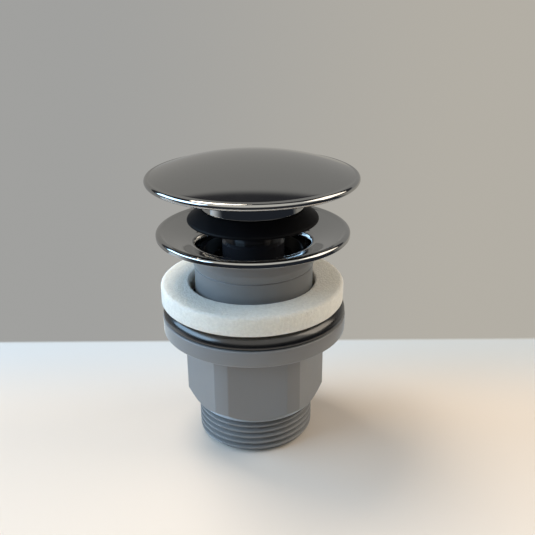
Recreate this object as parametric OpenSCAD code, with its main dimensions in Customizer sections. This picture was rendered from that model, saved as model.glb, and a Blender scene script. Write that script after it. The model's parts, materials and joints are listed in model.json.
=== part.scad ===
// Pop up basin waste: a push-to-close plug in a flanged inlet, clamped to the
// basin by a screwed hexagon outlet body with foam and rubber washers.
// Millimetres, +Z up, origin at the centre of the outlet's end face.

/* [Outlet body] */
// Major diameter of the outlet thread, drawn as a plain cylinder
outlet_thread_d = 41.91; // [38:0.01:45]
// Length of the threaded outlet below the hexagon
outlet_thread_len = 13.4; // [9:0.1:20]
// Depth of that thread, which is also the chamfer at its end
outlet_thread_depth = 1.48; // [1:0.02:1.6]
// Clear bore of the outlet
outlet_bore_d = 35; // [30:0.5:36]
// Wall between the screwed bore and the flats of the hexagon
hex_wall = 1.8; // [1.6:0.05:5]
// How far the turned corners of the hexagon stand out past its flats
corner_stand = 2.15; // [1:0.05:3.4]
// Height of the hexagon
hex_h = 28.1; // [24:0.1:40]
// Turn of the hexagon about the axis, in degrees
hex_turn = 3; // [-30:1:30]
// Height of the cone that trims the lower corners
foot_cone_h = 3.6; // [2:0.1:9]
// Diameter of the clamp collar
collar_d = 65; // [58:0.5:72]
// Thickness of the clamp collar
collar_h = 5.8; // [4:0.1:9]

/* [Washers] */
// How far the edge of the rubber gasket stands in from that of the collar
gasket_inset = 0.2; // [0:0.05:2]
// Thickness of the rubber gasket
gasket_h = 4.9; // [3:0.1:8]
// How far the edge of the foam washer stands in from that of the collar
foam_inset = 0.25; // [0:0.05:2]
// Thickness of the foam washer
foam_h = 7.2; // [4:0.1:12]
// Radial room of the loose foam washer around the tube
foam_room = 1.5; // [1.3:0.1:3]
// Sideways rest of the loose foam washer
foam_shift = -0.6; // [-0.6:0.1:0.6]

/* [Inlet tube] */
// Outer diameter of the inlet tube
tube_d = 41.4; // [40:0.1:42]
// Wall of the inlet tube
tube_wall = 2; // [1.6:0.1:2.6]
// Length of tube screwed into the outlet body
engagement = 15.4; // [10:0.1:20]
// Free height between the foam and the edge of the flange hole
basin_gap = 15.3; // [14:0.1:28]
// Height of the groove around the tube above the foam
groove_lift = 5.9; // [3:0.1:9]
// How far the head of the tube stands out past the tube
head_step = 0.8; // [0.4:0.1:0.9]
// Height of the cone below the head
head_cone_h = 3; // [2:0.1:4]
// Height of the spider's ledge above the lower end of the tube
spider_lift = 14.5; // [12:0.1:16]

/* [Flange] */
// Outer diameter of the flange
flange_d = 66.6; // [60:0.2:74]
// How far the edge of the flange hole flares out past the throat
hole_flare = 2.2; // [1.8:0.1:3]
// Rise of the dish from the hole to the lip
dish_rise = 3.2; // [2:0.1:5]
// Sheet thickness of the flange
flange_sheet = 1; // [0.8:0.1:1.4]
// Height of the turned-down lip
lip_h = 1.9; // [1.4:0.1:3]
// Depth of the throat below the hole edge
throat_depth = 12.8; // [11:0.2:13.4]

/* [Plug] */
// Diameter of the domed cap
cap_d = 72; // [66:0.5:76]
// Rise of the dome above the rim bead
cap_rise = 6.2; // [3:0.1:8]
// Sheet thickness of the dome
cap_sheet = 1.3; // [1:0.1:2]
// Thickness of the rolled rim bead
bead_d = 2.4; // [1.8:0.1:3]
// Height from the seal clamp face to the middle of the bead
cap_lift = 10.2; // [9:0.1:14]
// Diameter of the skirt under the cap
skirt_d = 35.2; // [33:0.2:38]
// Wall of the skirt
skirt_wall = 1.2; // [0.8:0.1:2]
// How far the lip of the seal laps past the edge of the flange hole
seal_lap = 1.3; // [0.8:0.1:2.5]
// Thickness of the seal
seal_t = 1.5; // [1:0.1:2]
// Drop of the lip below the clamp face
lip_drop = 3.7; // [3:0.1:5]
// Travel of the plug from open to closed
stroke = 6.9; // [5:0.1:8]

/* [Cartridge] */
// Outer diameter of the cartridge barrel
barrel_d = 14.5; // [14:0.1:16]
// Outer diameter of the body of the cartridge above the spider
body_d = 21.6; // [20:0.1:23]
// Diameter of the stem through the barrel cap
stem_d = 6; // [5:0.1:6.4]
// Diameter of the journal the index sleeve turns on
journal_d = 4; // [3.4:0.1:4.4]
// Outer diameter of the index sleeve
sleeve_d = 10.5; // [10:0.1:11]
// Depth of the zigzag track in the index sleeve
track_depth = 1.35; // [1.2:0.05:1.6]
// Diameter of the guide pins that run in the track
pin_d = 1.6; // [1.4:0.1:1.8]
// Wire of the return spring
wire_d = 0.9; // [0.7:0.1:1]
// Active turns of the return spring
spring_turns = 6; // [4:0.5:7]
// Wall of the hub of the spider
hub_wall = 2.75; // [2:0.05:4]
// Wall of the nut under the hub, at its flats
nut_wall = 2.9; // [2:0.1:4]
// Thickness of the fibre washer on the hub
fibre_t = 1; // [0.6:0.1:2]
// Height of the nut under the hub of the spider
cartridge_nut_h = 4.5; // [3:0.1:6]
// Length of barrel below that nut
barrel_tail = 1.5; // [1:0.1:3]
// Height of the hub of the spider
hub_h = 8.5; // [6:0.1:9]
// Arms of the spider that carries the cartridge
spider_arms = 4; // [3:1:4]
// Thickness of a spider arm
arm_t = 2.4; // [1.8:0.1:3]

/* [Fits] */
// Radial room in the screwed joint of tube and outlet body
thread_gap = 0.35; // [0.3:0.05:0.5]
// Radial room of a running shaft
running_gap = 0.05; // [0.02:0.01:0.08]
// Radial room of a loose sliding piece
slide_gap = 0.4; // [0.3:0.05:0.6]
// Room at a seat between fixed pieces
seat_gap = 0.05; // [0.02:0.01:0.08]
// Room left under the seal when the plug is down
close_gap = 0.3; // [0.2:0.05:0.5]

/* [Hidden] */
$fn = 96;
// levels of the clamped stack
z_hex = outlet_thread_len;
z_collar = z_hex + hex_h;
z_collar_top = z_collar + collar_h;
z_gasket_top = z_collar_top + gasket_h;
z_foam_top = z_gasket_top + foam_h;
z_hole = z_foam_top + basin_gap;
// radii
outlet_r = outlet_thread_d / 2;
outlet_bore_r = outlet_bore_d / 2;
tube_r = tube_d / 2;
tube_in_r = tube_r - tube_wall;
screw_r = tube_r + thread_gap;
foot_step = 0.7;
foot_r = outlet_r + foot_step;
hex_r = screw_r + hex_wall;
turned_r = hex_r + corner_stand;
collar_r = collar_d / 2;
gasket_r = collar_r - gasket_inset;
foam_r = collar_r - foam_inset;
foam_hole_r = tube_r + foam_room;
head_r = tube_r + head_step;
flange_r = flange_d / 2;
barrel_r = barrel_d / 2;
body_r = body_d / 2;
body_edge = 0.8;
hub_r = barrel_r + hub_wall;
sleeve_r = sleeve_d / 2;
sleeve_room = 0.3;
barrel_in_r = sleeve_r + sleeve_room;
stem_r = stem_d / 2;
journal_r = journal_d / 2;
pin_r = pin_d / 2;
// three guide pins, so each stroke turns the sleeve by a sixth
pin_count = 3;
index_turn = 180 / pin_count;
skirt_r = skirt_d / 2;
// levels of the tube and of what it carries
z_tube = z_collar_top - engagement;
z_groove = z_foam_top + groove_lift;
head_drop = 2.2;
z_head = z_hole - head_drop;
z_throat = z_hole - throat_depth;
throat_step = 0.4;
throat_in_r = tube_in_r + throat_step;
throat_out_r = throat_in_r + flange_sheet;
throat_seat_r = throat_out_r + seat_gap;
z_throat_seat = z_throat - throat_step;
hole_r = throat_in_r + hole_flare;
seal_r = hole_r + seal_lap;
ledge_w = 1.4;
ledge_r = tube_in_r - ledge_w;
z_spider = z_tube + spider_lift;
z_hub_top = z_spider + hub_h;
// dish of the flange
edge_round = 0.6;
dish_in_r = hole_r + edge_round;
dish_out_r = flange_r - edge_round;
dish_slope = dish_rise / (dish_out_r - dish_in_r);
dish_step = 0.1;
function dish_z(r) = z_hole + dish_step + (r - dish_in_r) * dish_slope;
// levels of the plug, found from the closed seal upwards
z_lip = dish_z(seal_r) + close_gap + stroke;
z_clamp = z_lip + lip_drop;
z_bead = z_clamp + cap_lift;
bead_r = bead_d / 2;
bead_ring_r = cap_d / 2 - bead_r;
z_dome_edge = z_bead + bead_r * 0.9;
z_apex = z_dome_edge + cap_rise;
dome_r = (bead_ring_r * bead_ring_r + cap_rise * cap_rise) / (2 * cap_rise);
z_dome_c = z_apex - dome_r;
dome_in_r = dome_r - cap_sheet;
function under_cap(r) = z_dome_c + sqrt(dome_in_r * dome_in_r - r * r);
recess_room = 1.25;
recess_r = barrel_r + recess_room;
web_lift = 0.5;
web_t = 1.4;
web_r = recess_r + web_t;
z_web = z_clamp + web_lift;
z_web_top = z_web + web_t;
nut_h = 3.2;
z_boss = z_web_top + nut_h + 0.2;
// levels of the cartridge
barrel_drop = 0.3;
z_cap_seat = z_hole - barrel_drop;
z_barrel_low = z_spider - cartridge_nut_h - barrel_tail;
z_shoulder = z_hub_top + fibre_t;
stem_collar_h = 1;
spigot_h = 1.5;
o_ring_d = 1.5;
o_ring_room = 0.2;
o_groove = o_ring_d + o_ring_room;
cap_roof = 0.9;
z_cap_low = z_cap_seat - spigot_h;
stem_stop_gap = 0.1;
z_sleeve_top = z_cap_low - stem_collar_h - stem_stop_gap;
track_low = 2.6;
track_high = 3;
sleeve_h = stroke + track_low + track_high;
z_sleeve = z_sleeve_top - sleeve_h;
z_pin = z_sleeve + track_low;
thrust_h = 1;
z_thrust = z_sleeve - thrust_h;
clip_h = 0.8;
z_clip = z_thrust - clip_h;
stem_tip = 1;
z_stem_end = z_clip - stem_tip;
plug_h = 2.5;
z_seat = z_barrel_low + plug_h;
spring_room = 0.8;
spring_r = barrel_in_r - spring_room - wire_d / 2;

// plastic, rubber, foam, chrome and steel tones
grey = [0.56, 0.58, 0.60];
black = [0.07, 0.07, 0.08];
white = [0.93, 0.92, 0.88];
chrome = [0.80, 0.81, 0.83];
steel = [0.66, 0.67, 0.69];

// points of an arc about a centre, in the plane of a profile
function arc(cx, cy, rx, ry, a0, a1, n) =
    [for (i = [0 : n]) let (a = a0 + (a1 - a0) * i / n) [cx + rx * cos(a), cy + ry * sin(a)]];

// flat ring between two heights
module ring(r_in, r_out, z0, z1) {
    translate([0, 0, z0]) difference() {
        cylinder(r = r_out, h = z1 - z0);
        translate([0, 0, -1]) cylinder(r = r_in, h = z1 - z0 + 2);
    }
}

// Outlet: clamp collar, hexagon turned at its corners, and threaded spigot
module outlet_body() {
    lower_edge = 0.7;
    upper_edge = 0.6;
    mouth = 0.8;
    bore_land = 2.5;
    cone_rise = 2.6;
    z_cone = z_hex + bore_land;
    z_shelf = z_cone + cone_rise;
    color(grey) difference() {
        union() {
            rotate_extrude() polygon([[0, 0], [outlet_r - outlet_thread_depth, 0],
                [outlet_r, outlet_thread_depth],
                [outlet_r, z_hex + 1], [0, z_hex + 1]]);
            intersection() {
                translate([0, 0, z_hex]) rotate([0, 0, hex_turn])
                    cylinder(r = hex_r / cos(30), h = hex_h + 1, $fn = 6);
                rotate_extrude() polygon([[0, z_hex], [foot_r, z_hex],
                    [turned_r, z_hex + foot_cone_h], [turned_r, z_collar + 1], [0, z_collar + 1]]);
            }
            rotate_extrude() polygon([[0, z_collar], [collar_r - lower_edge, z_collar],
                [collar_r, z_collar + lower_edge], [collar_r, z_collar_top - upper_edge],
                [collar_r - upper_edge, z_collar_top], [0, z_collar_top]]);
        }
        rotate_extrude() polygon([[0, -1], [outlet_bore_r, -1], [outlet_bore_r, z_cone],
            [screw_r, z_shelf], [screw_r, z_collar_top - mouth], [screw_r + mouth, z_collar_top],
            [screw_r + mouth, z_collar_top + 1], [0, z_collar_top + 1]]);
    }
}

// Rubber gasket with a bull-nosed outer edge
module rubber_gasket() {
    r = gasket_r;
    r_in = tube_r + slide_gap;
    h = gasket_h;
    foot_w = 1;
    foot_h = 1.1;
    nose_w = 2.1;
    nose_h = 3;
    color(black) translate([0, 0, z_collar_top]) rotate_extrude() polygon(concat(
        [[r_in, 0]],
        arc(r - foot_w, foot_h, foot_w, foot_h, -90, 0, 5),
        arc(r - nose_w, h - nose_h, nose_w, nose_h, 0, 90, 7),
        [[r_in, h]]));
}

// Foam washer with soft edges, resting loose on the gasket
module foam_washer() {
    r = foam_r;
    r_in = foam_hole_r;
    e = 0.9;
    e_in = 0.5;
    color(white) translate([foam_shift, 0, z_gasket_top]) rotate_extrude() polygon(concat(
        [[r_in, 0]],
        arc(r - e, e, e, e, -90, 0, 4),
        arc(r - e, foam_h - e, e, e, 0, 90, 4),
        arc(r_in + e_in, foam_h - e_in, e_in, e_in, 90, 180, 3)));
}

// Inlet tube: screwed lower end, groove, coned head and the seat of the flange
module inlet_tube() {
    lead_in = 0.8;
    notch = 0.35;
    notch_floor = 0.1;
    brow = 0.15;
    edge = 0.4;
    seat_flare_h = 3.2;
    color(grey) rotate_extrude() polygon([
        [ledge_r, z_tube], [tube_r - lead_in, z_tube], [tube_r, z_tube + lead_in],
        [tube_r, z_groove - notch], [tube_r - notch, z_groove - notch_floor],
        [tube_r - notch, z_groove + notch_floor], [tube_r + brow, z_groove + edge],
        [head_r, z_groove + head_cone_h], [head_r, z_head - edge], [head_r - edge, z_head],
        [hole_r - edge, z_head], [throat_seat_r, z_head - seat_flare_h], [throat_seat_r, z_throat_seat],
        [tube_in_r, z_throat_seat], [tube_in_r, z_spider], [ledge_r, z_spider]]);
}

// Flange: dished chrome ring with a turned-down lip and a drawn throat
module flange() {
    t = flange_sheet;
    z_edge = dish_z(dish_out_r);
    z_lip_low = z_edge - lip_h;
    // the drawn round between throat and dish, upper face and lower face
    draw_h = 5.6;
    draw_low_h = 5.1;
    z_draw = z_hole - draw_h;
    back_r = dish_in_r + 0.4;
    z_back = z_draw - 0.4;
    // the rolled rim and the end of the turned-down lip
    roll_w = 1.5;
    roll_h = 1.05;
    roll_drop = 0.75;
    flat_r = flange_r - roll_w - 0.7;
    nick = 0.25;
    lip_t = 1.1;
    color(chrome) rotate_extrude() polygon(concat(
        [[throat_in_r, z_throat], [throat_in_r, z_draw]],
        arc(dish_in_r, z_draw, dish_in_r - throat_in_r, draw_h + dish_step, 172, 96, 9),
        [[dish_in_r, dish_z(dish_in_r)], [flat_r, dish_z(flat_r)]],
        arc(flange_r - roll_w, z_edge - roll_drop, roll_w, roll_h, 86, 0, 7),
        [[flange_r, z_lip_low + nick], [flange_r - nick, z_lip_low], [flange_r - lip_t + nick, z_lip_low],
            [flange_r - lip_t, z_lip_low + nick], [flange_r - lip_t, z_edge - t - nick],
            [back_r, dish_z(back_r) - t]],
        arc(back_r, z_back, back_r - throat_out_r, draw_low_h, 96, 172, 7),
        [[throat_out_r, z_back], [throat_out_r, z_throat]]));
}

// Flat rubber ring between the flange and the head of the tube
module flange_gasket() {
    color(black) ring(hole_r - 0.1, head_r + 0.5, z_head + 0.05, z_head + 0.55);
}

// Spider: rim in the tube, arms and a hub for the cartridge
module spider() {
    r_out = tube_in_r - seat_gap;
    rim = 1.4;
    color(black) difference() {
        union() {
            ring(r_out - rim, r_out, z_spider, z_hub_top - 1);
            translate([0, 0, z_spider]) cylinder(r = hub_r, h = hub_h);
            for (i = [0 : spider_arms - 1])
                rotate([0, 0, 45 + i * 360 / spider_arms])
                    translate([hub_r - 1, -arm_t / 2, z_spider])
                        cube([r_out - rim / 2 - hub_r + 1, arm_t, hub_h - 1]);
        }
        translate([0, 0, z_spider - 1]) cylinder(r = barrel_r + seat_gap, h = hub_h + 2);
    }
}

// Fibre washer under the shoulder of the barrel
module cartridge_washer() {
    color(steel) ring(barrel_r + seat_gap, hub_r - 0.4, z_hub_top, z_shoulder);
}

// Hexagon nut that holds the barrel in the hub
module cartridge_nut() {
    color(steel) translate([0, 0, z_spider - cartridge_nut_h]) difference() {
        rotate([0, 0, 30]) cylinder(r = (barrel_r + nut_wall) / cos(30), h = cartridge_nut_h, $fn = 6);
        translate([0, 0, -1]) cylinder(r = barrel_r + seat_gap, h = cartridge_nut_h + 2);
    }
}

// Barrel of the push cartridge, with a wider body on the spider and three pin holes
module cartridge_barrel() {
    color(black) difference() {
        union() {
            translate([0, 0, z_barrel_low]) cylinder(r = barrel_r, h = z_cap_seat - z_barrel_low);
            rotate_extrude() polygon([[0, z_shoulder], [body_r, z_shoulder], [body_r, z_cap_seat - body_edge],
                [body_r - body_edge, z_cap_seat], [0, z_cap_seat]]);
        }
        translate([0, 0, z_barrel_low - 1]) cylinder(r = barrel_in_r, h = z_cap_seat - z_barrel_low + 2);
        for (i = [0 : pin_count - 1]) rotate([0, 90, i * 2 * index_turn]) translate([-z_pin, 0, 0])
            cylinder(r = pin_r + seat_gap, h = body_r + 1, $fn = 48);
    }
}

// Cap of the barrel: guides the stem and holds its ring
module barrel_cap() {
    z_top = z_cap_seat + o_groove + cap_roof;
    color(black) difference() {
        union() {
            translate([0, 0, z_cap_low])
                cylinder(r = barrel_in_r - seat_gap, h = z_cap_seat - z_cap_low + 0.5);
            rotate_extrude() polygon([[0, z_cap_seat], [barrel_r, z_cap_seat], [barrel_r, z_top - 0.8],
                [barrel_r - 0.8, z_top], [0, z_top]]);
        }
        translate([0, 0, z_cap_low - 1]) cylinder(r = stem_r + running_gap, h = z_top - z_cap_low + 2);
        translate([0, 0, z_cap_seat]) cylinder(r = stem_r + o_groove, h = o_groove);
    }
}

// Ring that wipes the stem inside the barrel cap
module stem_o_ring() {
    color(black) translate([0, 0, z_cap_seat + o_groove / 2]) rotate_extrude()
        translate([stem_r + running_gap + 0.03 + o_ring_d / 2, 0]) circle(r = o_ring_d / 2, $fn = 48);
}

// Three steel pins through the wall of the barrel
module guide_pins() {
    r_tip = sleeve_r - track_depth + 0.3;
    color(steel) for (i = [0 : pin_count - 1])
        rotate([0, 90, i * 2 * index_turn]) translate([-z_pin, 0, r_tip])
            cylinder(r = pin_r, h = body_r - 0.1 - r_tip, $fn = 48);
}

// Plug that closes the barrel and seats the spring, with a drain hole
module end_plug() {
    color(black) ring(1.5, barrel_in_r - seat_gap, z_barrel_low, z_seat);
}

// Return spring: round wire wound between the end plug and the thrust washer
module return_spring() {
    sides = 8;
    per_turn = 20;
    dead = 1;
    total = spring_turns + 2 * dead;
    steps = ceil(total * per_turn);
    r_w = wire_d / 2;
    z0 = z_seat + r_w;
    z1 = z_thrust - r_w;
    pitch_end = wire_d * 1.04;
    rise = z1 - z0 - 2 * dead * pitch_end;
    function climb(t) = t < dead ? t * pitch_end
        : t > total - dead ? z1 - z0 - (total - t) * pitch_end
        : dead * pitch_end + rise * (t - dead) / spring_turns;
    pts = [for (i = [0 : steps], k = [0 : sides - 1])
        let (t = total * i / steps, a = 360 * t, b = 360 * k / sides, r = spring_r + r_w * cos(b))
        [r * cos(a), r * sin(a), z0 + climb(t) + r_w * sin(b)]];
    quads = [for (i = [0 : steps - 1], k = [0 : sides - 1])
        let (n = (k + 1) % sides)
        [i * sides + k, (i + 1) * sides + k, (i + 1) * sides + n, i * sides + n]];
    start = [for (k = [0 : sides - 1]) k];
    finish = [for (k = [0 : sides - 1]) steps * sides + sides - 1 - k];
    color(steel) polyhedron(points = pts, faces = concat(quads, [start], [finish]), convexity = 10);
}

// One leg of the track: short straight cuts stepped around the sleeve
module track_leg(start, side) {
    cuts = 4;
    r0 = sleeve_r - track_depth;
    run = (sleeve_r - track_depth / 2) * index_turn * PI / 180;
    slope = atan(stroke / run);
    long = sqrt(stroke * stroke + run * run) / cuts + 1.1;
    wide = pin_d + 0.7;
    for (k = [0 : cuts - 1]) let (f = (k + 0.5) / cuts)
        rotate([0, 0, start + side * index_turn * f]) translate([r0, 0, z_pin + stroke * f])
            rotate([side * slope, 0, 0]) translate([0, -long / 2, -wide / 2]) cube([3, long, wide]);
}

// Zigzag track of the index sleeve: six slanted legs and their turning points
module zigzag_track() {
    r0 = sleeve_r - track_depth;
    for (i = [0 : pin_count - 1]) let (low = i * 2 * index_turn) {
        track_leg(low, -1);
        track_leg(low - 2 * index_turn, 1);
        rotate([0, 90, low]) translate([-z_pin, 0, r0]) cylinder(r = pin_r + 0.4, h = 3, $fn = 48);
        rotate([0, 90, low - index_turn]) translate([-z_pin - stroke - 0.5, 0, r0])
            cylinder(r = pin_r + 0.4, h = 3, $fn = 48);
    }
}

// Index sleeve: turns a step on the stem each time the plug is pushed
module index_sleeve() {
    color(white) difference() {
        translate([0, 0, z_sleeve]) cylinder(r = sleeve_r, h = sleeve_h);
        translate([0, 0, z_sleeve - 1]) cylinder(r = journal_r + running_gap, h = sleeve_h + 2);
        zigzag_track();
    }
}

// Stem: screwed top, collars and the journal of the index sleeve
module stem() {
    z_top = z_apex - cap_sheet - 4;
    color(steel) difference() {
        union() {
            translate([0, 0, z_sleeve_top]) cylinder(r = stem_r, h = z_top - z_sleeve_top);
            translate([0, 0, z_stem_end]) cylinder(r = journal_r, h = z_sleeve_top - z_stem_end + 0.5);
            translate([0, 0, z_sleeve_top]) cylinder(r = stem_r + 1.5, h = stem_collar_h);
            translate([0, 0, z_web - web_t]) cylinder(r = stem_r + 2, h = web_t);
        }
        ring(journal_r - 0.4, journal_r + 1, z_clip, z_thrust);
    }
}

// Washer between the spring and the index sleeve
module thrust_washer() {
    color(steel) ring(journal_r + 0.1, sleeve_r - 0.1, z_thrust, z_sleeve);
}

// Open clip in the groove at the end of the stem
module retaining_clip() {
    r_in = journal_r - 0.4 + seat_gap;
    color(steel) difference() {
        ring(r_in, journal_r + 1.3, z_clip + 0.05, z_thrust - 0.05);
        translate([0, -r_in, z_clip - 1]) cube([6, 2 * r_in, 3]);
    }
}

// Dished plate that clamps the seal from below
module seal_retainer() {
    z_low = z_clamp - seal_t - 1.8;
    r_out = skirt_r - 2;
    color(black) rotate_extrude() polygon([
        [stem_r + seat_gap, z_web], [recess_r, z_web], [recess_r, z_low], [r_out - 0.6, z_low],
        [r_out, z_low + 0.6], [r_out, z_clamp - seal_t], [web_r, z_clamp - seal_t],
        [web_r, z_web_top], [stem_r + seat_gap, z_web_top]]);
}

// Rubber seal with a drooping lip that lands on the dish of the flange
module plug_seal() {
    r_in = web_r + seat_gap;
    color(black) rotate_extrude() polygon([
        [r_in, z_clamp - seal_t], [skirt_r - 0.6, z_clamp - seal_t], [seal_r - 0.5, z_lip],
        [seal_r - 0.1, z_lip + 0.15], [seal_r, z_lip + 0.6], [seal_r - 0.3, z_lip + 1.1],
        [skirt_r + 0.3, z_clamp - 0.15], [skirt_r - 0.2, z_clamp], [r_in, z_clamp]]);
}

// Chrome skirt between the seal and the cap
module plug_skirt() {
    r_web = web_r + seat_gap;
    r_wall = skirt_r - skirt_wall;
    color(chrome) rotate_extrude() polygon([
        [r_web, z_clamp], [skirt_r - 0.4, z_clamp], [skirt_r, z_clamp + 0.4],
        [skirt_r, under_cap(skirt_r) - seat_gap], [r_wall, under_cap(r_wall) - seat_gap - 0.02],
        [r_wall, z_clamp + web_t], [r_web, z_clamp + web_t]]);
}

// Hexagon nut that locks the stem under the boss of the cap
module stem_lock_nut() {
    color(steel) translate([0, 0, z_web_top]) difference() {
        cylinder(r = (stem_r + 2) / cos(30), h = nut_h, $fn = 6);
        translate([0, 0, -1]) cylinder(r = stem_r + seat_gap, h = nut_h + 2);
    }
}

// Domed cap with a rolled rim and a boss for the stem
module plug_cap() {
    color(chrome) difference() {
        union() {
            intersection() {
                difference() {
                    translate([0, 0, z_dome_c]) sphere(r = dome_r, $fn = 180);
                    translate([0, 0, z_dome_c]) sphere(r = dome_in_r, $fn = 180);
                }
                translate([0, 0, z_bead]) cylinder(r = bead_ring_r, h = z_apex - z_bead + 1);
            }
            translate([0, 0, z_bead]) rotate_extrude()
                translate([bead_ring_r, 0]) circle(r = bead_r, $fn = 48);
            intersection() {
                translate([0, 0, z_boss]) cylinder(r = stem_r + 3, h = z_apex - z_boss);
                translate([0, 0, z_dome_c]) sphere(r = dome_r - 0.3, $fn = 180);
            }
        }
        translate([0, 0, z_boss - 1]) cylinder(r = stem_r + seat_gap, h = z_apex - cap_sheet - 3 - z_boss);
    }
}

outlet_body();
rubber_gasket();
foam_washer();
inlet_tube();
flange();
flange_gasket();
spider();
cartridge_washer();
cartridge_nut();
cartridge_barrel();
barrel_cap();
stem_o_ring();
guide_pins();
end_plug();
return_spring();
index_sleeve();
stem();
thrust_washer();
retaining_clip();
seal_retainer();
plug_seal();
plug_skirt();
stem_lock_nut();
plug_cap();
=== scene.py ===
import json
import math

import bpy
import numpy as np
from bpy.props import FloatProperty, FloatVectorProperty, IntProperty, PointerProperty
from mathutils import Matrix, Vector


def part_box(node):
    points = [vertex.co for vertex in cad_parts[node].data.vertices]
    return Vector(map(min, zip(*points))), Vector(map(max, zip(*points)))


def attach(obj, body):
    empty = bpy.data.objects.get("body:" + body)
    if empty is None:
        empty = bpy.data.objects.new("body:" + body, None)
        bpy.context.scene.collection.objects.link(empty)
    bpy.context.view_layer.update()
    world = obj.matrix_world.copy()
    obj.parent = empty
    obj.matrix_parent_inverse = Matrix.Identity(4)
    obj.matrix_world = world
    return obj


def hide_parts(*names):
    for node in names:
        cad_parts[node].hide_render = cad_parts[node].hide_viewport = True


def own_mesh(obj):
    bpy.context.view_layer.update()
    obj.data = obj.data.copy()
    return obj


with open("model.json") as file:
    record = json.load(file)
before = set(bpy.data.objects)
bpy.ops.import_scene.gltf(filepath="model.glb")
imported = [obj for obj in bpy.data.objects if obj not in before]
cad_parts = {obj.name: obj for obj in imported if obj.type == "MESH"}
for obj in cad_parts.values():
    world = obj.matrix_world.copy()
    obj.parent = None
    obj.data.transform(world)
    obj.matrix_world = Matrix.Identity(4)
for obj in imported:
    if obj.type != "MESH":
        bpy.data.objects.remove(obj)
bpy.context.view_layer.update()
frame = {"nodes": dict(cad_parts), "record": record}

bl_info = {
    "name": "Pop Up Basin Waste",
    "version": (1, 0, 0),
    "blender": (4, 5, 0),
    "location": "View3D > Sidebar > Basin Waste",
    "description": "Dresses the basin waste: chrome plug and flange, grey body, foam and rubber washers",
    "category": "Object",
}

MM = 0.001
TAU = 2 * math.pi


def span(node):
    """Lowest and highest corner of a CAD node at rest, in millimetres."""
    low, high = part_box(node)
    return np.array(low) / MM, np.array(high) / MM


def radius(node):
    """Outer radius of a round CAD node, in millimetres."""
    low, high = span(node)
    return (high[1] - low[1]) / 2


def height(node):
    """Lowest and highest level of a CAD node at rest, in millimetres."""
    low, high = span(node)
    return low[2], high[2]


# Sizes, colours and stage settings

def length(name, text, value):
    """A length property in metres, from a value in millimetres."""
    return FloatProperty(name=name, description=text, default=value * MM, unit="LENGTH", precision=5)


def angle(name, text, degrees):
    """An angle property in radians, from a value in degrees."""
    return FloatProperty(name=name, description=text, default=math.radians(degrees), subtype="ANGLE")


def power(name, text, watts):
    """The power of a lamp."""
    return FloatProperty(name=name, description=text, default=watts, min=0, unit="POWER")


def colour(name, text, value):
    """A linear colour property."""
    return FloatVectorProperty(name=name, description=text, default=value, size=3, min=0, max=1,
                               subtype="COLOR")


class WasteSizes(bpy.types.PropertyGroup):
    """Sizes of the forms that the boxes of the solids don't tell."""
    bead: length("Rim bead", "Thickness of the rolled rim of the cap", 2.4)
    dome_rise: length("Dome rise", "Rise of the dome above the rim bead", 6.2)
    cap_sheet: length("Cap sheet", "Thickness of the dome", 1.3)
    stem: length("Stem", "Radius of the hole for the stem", 3.05)
    boss: length("Boss", "Radius of the boss under the dome", 6.0)
    plug_hub: length("Plug hub", "Radius of the hole in the skirt's web and in the seal", 9.95)
    lip_droop: length("Seal droop", "How far the seal's lip hangs below the solid's at rest", 1.0)
    hole: length("Flange hole", "Radius of the flange hole at its edge", 21.3)
    throat: length("Throat", "Inner radius of the flange throat", 19.1)
    throat_depth: length("Throat depth", "Depth of the throat below the edge of the hole", 12.8)
    dish_rise: length("Dish rise", "Rise of the dish from the hole to the lip", 3.2)
    dish_bend: FloatProperty(name="Dish bend", default=1.3, min=1,
                             description="1 is a straight cone, more is flatter at the lip")
    lip: length("Lip", "Height of the flange's turned-down lip", 1.9)
    tube: length("Tube", "Outer radius of the inlet tube", 20.7)
    tube_bore: length("Tube bore", "Inner radius of the inlet tube", 18.7)
    tube_pitch: length("Tube thread pitch", "Rise of the inlet tube's coarse thread in one turn", 3.0)
    tube_thread: length("Tube thread depth", "Depth of the inlet tube's coarse thread", 0.75)
    foam_hole: length("Foam hole", "Radius of the hole in the foam washer", 22.2)
    gasket_hole: length("Gasket hole", "Radius of the hole in the rubber gasket", 21.1)
    collar: length("Collar", "Thickness of the clamp collar", 5.8)
    hex_flat: length("Hexagon flat", "Half the width of the hexagon across its flats", 22.85)
    hex_turned: length("Turned corner", "Radius the hexagon's corners are turned to", 25.0)
    hex_base: length("Hexagon base", "Height at which the thread ends and the hexagon starts", 13.4)
    hex_turn: angle("Hexagon turn", "Turn of the hexagon about the axis", 3)
    foot_cone: length("Foot cone", "Height of the cone that trims the lower corners", 3.6)
    outlet_bore: length("Outlet bore", "Radius of the outlet's bore", 17.5)
    screw_bore: length("Screwed bore", "Radius of the bore that takes the inlet tube", 21.05)
    thread_major: length("Thread radius", "Major radius of the outlet thread", 20.955)
    thread_pitch: length("Thread pitch", "Rise of the outlet thread in one turn", 2.309)
    thread_depth: length("Thread depth", "Depth of the outlet thread", 1.48)
    thread_crest: length("First crest", "Height of the lowest crest at the front", 1.8)
    wire: length("Spring wire", "Diameter of the return spring's wire", 0.9)
    spring_turns: IntProperty(name="Spring turns", default=8, min=3,
                              description="Turns of the return spring")


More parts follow.
